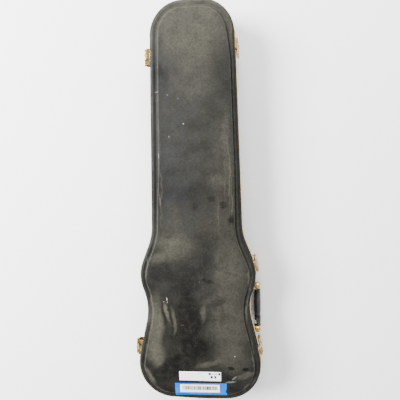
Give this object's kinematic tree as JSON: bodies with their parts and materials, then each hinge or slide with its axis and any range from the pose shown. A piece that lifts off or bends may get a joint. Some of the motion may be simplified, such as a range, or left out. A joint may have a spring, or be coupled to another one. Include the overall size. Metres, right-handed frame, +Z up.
{
  "type": "guitar case",
  "caption": "Form-fit hard case for an electric guitar: hinged lid with raised panel, metal valances, draw latches, side handle and padded, plush-lined interior with accessory compartment.",
  "frame": {"origin": "middle of the flat plateau under the base, on which the case lies", "axes": "+Z up with the lid on top, +Y towards the head end, +X towards the latches and the handle"},
  "size_m": [0.3773, 1.0999, 0.1182],
  "materials": {
    "shell": "leather-grained, dusty and scuffed",
    "valance": "satin champagne gold",
    "plush": "short-pile plush",
    "ribbon": "woven ribbon",
    "brass": "brass plated, lightly tarnished",
    "steel_pins": "plated",
    "rivets": "domed heads, brass plated",
    "grip": "moulded, fine leather grain",
    "paper": "matt coated paper",
    "tape": "creped masking tape",
    "lock": "brushed"
  },
  "bodies": {
    "base": {"base_shell": "shell", "base_valance": "valance", "base_floor_pad": "plush", "base_padding_head_end": "plush", "base_padding_neck_left": "plush", "base_padding_neck_right": "plush", "base_padding_body_left": "plush", "base_padding_body_right": "plush", "base_padding_tail_end": "plush", "neck_cradle": "plush", "headstock_pad": "plush", "compartment_front_wall": "plush", "compartment_rear_wall": "plush", "compartment_hinge_tape": "plush", "hinge_neck_base_leaf": "brass", "hinge_body_base_leaf": "brass", "handle_bracket_upper": "brass", "handle_bracket_lower": "brass", "latch_neck_plate": "brass", "latch_upper_bout_plate": "brass", "latch_lower_bout_plate": "brass", "hinge_neck_pin": "steel_pins", "hinge_body_pin": "steel_pins", "handle_pins": "steel_pins", "latch_neck_lever_pins": "steel_pins", "latch_upper_bout_lever_pins": "steel_pins", "latch_lower_bout_lever_pins": "steel_pins", "hinge_base_rivets": "rivets", "latch_base_rivets": "rivets", "handle_bracket_rivets": "rivets"},
    "lid": {"lid_shell": "shell", "lid_valance": "valance", "lid_top_pad": "plush", "lid_wall_lining": "plush", "hinge_neck_lid_leaf": "brass", "hinge_body_lid_leaf": "brass", "hinge_lid_rivets": "rivets", "keeper_neck": "brass", "keeper_upper_bout": "brass", "keeper_lower_bout": "brass", "keeper_rivets": "rivets", "price_label": "paper", "tape_strip": "tape", "tape_label": "paper"},
    "compartment_lid": {"compartment_lid": "plush", "compartment_pull_tab": "ribbon"},
    "handle": {"handle_grip": "grip", "handle_end_cap_upper": "grip", "handle_end_cap_lower": "grip"},
    "lever_neck": {"latch_neck_lever": "brass", "latch_neck_hasp_pin": "steel_pins"},
    "hasp_neck": {"latch_neck_hasp": "brass"},
    "lever_upper_bout": {"latch_upper_bout_lever": "brass", "latch_upper_bout_hasp_pin": "steel_pins"},
    "hasp_upper_bout": {"latch_upper_bout_hasp": "brass"},
    "lever_lower_bout": {"latch_lower_bout_lever": "brass", "latch_lower_bout_hasp_pin": "steel_pins"},
    "hasp_lower_bout": {"latch_lower_bout_hasp": "brass"},
    "lock": {"lock_cylinder": "lock"}
  },
  "joints": [
    {"name": "lid_hinge", "type": "hinge", "parent": "base", "child": "lid", "pos_m": [-0.1345, 0.417, 0.07], "axis": [-0.0618, -0.9981, 0], "range_deg": [0, 105]},
    {"name": "compartment_lid_hinge", "type": "hinge", "parent": "base", "child": "compartment_lid", "pos_m": [-0.097, 0.085, 0.05], "axis": [0, -1, 0], "range_deg": [0, 90]},
    {"name": "handle_swing", "type": "hinge", "parent": "base", "child": "handle", "pos_m": [0.173, -0.301, 0.05], "axis": [0, -1, 0], "range_deg": [0, 165]},
    {"name": "lever_neck_swing", "type": "hinge", "parent": "base", "child": "lever_neck", "pos_m": [0.12101, 0.43711, 0.059], "axis": [0.0222, -0.9998, 0], "range_deg": [0, 105]},
    {"name": "hasp_neck_swing", "type": "hinge", "parent": "lever_neck", "child": "hasp_neck", "pos_m": [0.12021, 0.43709, 0.051], "axis": [0.0222, -0.9998, 0], "range_deg": [-121, 0]},
    {"name": "lever_upper_bout_swing", "type": "hinge", "parent": "base", "child": "lever_upper_bout", "pos_m": [0.16637, -0.16904, 0.059], "axis": [0.1927, -0.9812, 0], "range_deg": [0, 105]},
    {"name": "hasp_upper_bout_swing", "type": "hinge", "parent": "lever_upper_bout", "child": "hasp_upper_bout", "pos_m": [0.16558, -0.16919, 0.051], "axis": [0.1927, -0.9812, 0], "range_deg": [-121, 0]},
    {"name": "lever_lower_bout_swing", "type": "hinge", "parent": "base", "child": "lever_lower_bout", "pos_m": [0.17583, -0.41504, 0.059], "axis": [0.1923, -0.9813, 0], "range_deg": [0, 105]},
    {"name": "hasp_lower_bout_swing", "type": "hinge", "parent": "lever_lower_bout", "child": "hasp_lower_bout", "pos_m": [0.17504, -0.41519, 0.051], "axis": [0.1923, -0.9813, 0], "range_deg": [-121, 0]},
    {"name": "lock_turn", "type": "hinge", "parent": "lever_lower_bout", "child": "lock", "pos_m": [0.17926, -0.41437, 0.037], "axis": [0.9813, 0.1923, 0], "range_deg": [0, 90]}
  ],
  "couplings": [
    {"joint": "compartment_lid_hinge", "follows": "lid_hinge", "ratio": 0.8},
    {"joint": "hasp_neck_swing", "follows": "lever_neck_swing", "ratio": -1.15},
    {"joint": "hasp_upper_bout_swing", "follows": "lever_upper_bout_swing", "ratio": -1.15},
    {"joint": "hasp_lower_bout_swing", "follows": "lever_lower_bout_swing", "ratio": -1.15}
  ]
}
